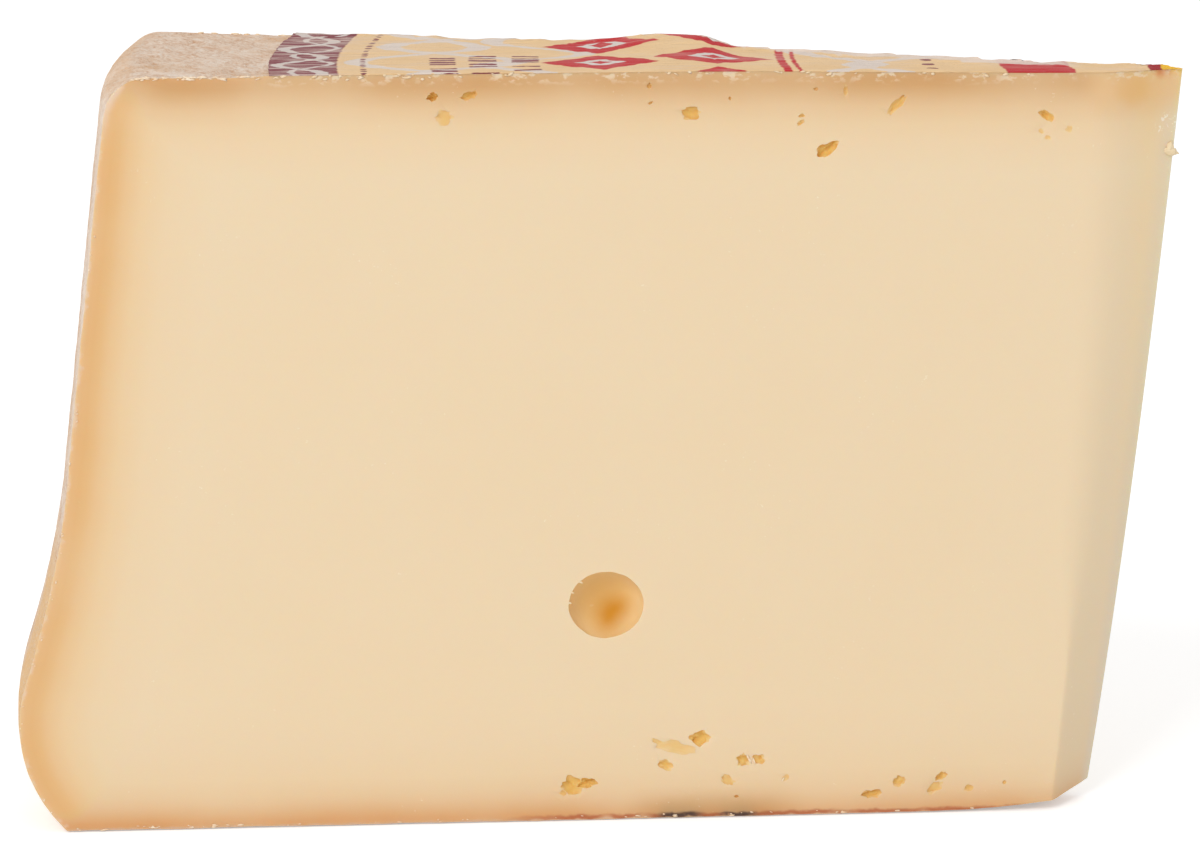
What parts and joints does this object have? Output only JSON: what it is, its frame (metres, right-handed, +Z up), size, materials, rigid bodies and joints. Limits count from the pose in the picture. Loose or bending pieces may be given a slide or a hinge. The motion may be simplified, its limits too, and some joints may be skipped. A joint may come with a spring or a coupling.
{
  "type": "semi-hard cheese wedge",
  "caption": "Tall slim wedge of semi-hard cheese cut from a pressed wheel: natural rind on its heel, top and underside, blunt nose, a few eyes, and a paper label on top.",
  "frame": {"origin": "on the underside's plane, under the middle of the box round the wedge", "axes": "+Z up, +X along the front cut from the heel's rind to the blunt nose, +Y from the front cut to the back cut"},
  "size_m": [0.1383, 0.0486, 0.0917],
  "materials": {
    "cheese": "satin, slightly moist cheese paste with a dry rind",
    "label_paper": "matt printed paper, soaked and creased"
  },
  "bodies": {
    "root": {"cheese": "cheese", "label": "label_paper"}
  },
  "joints": []
}
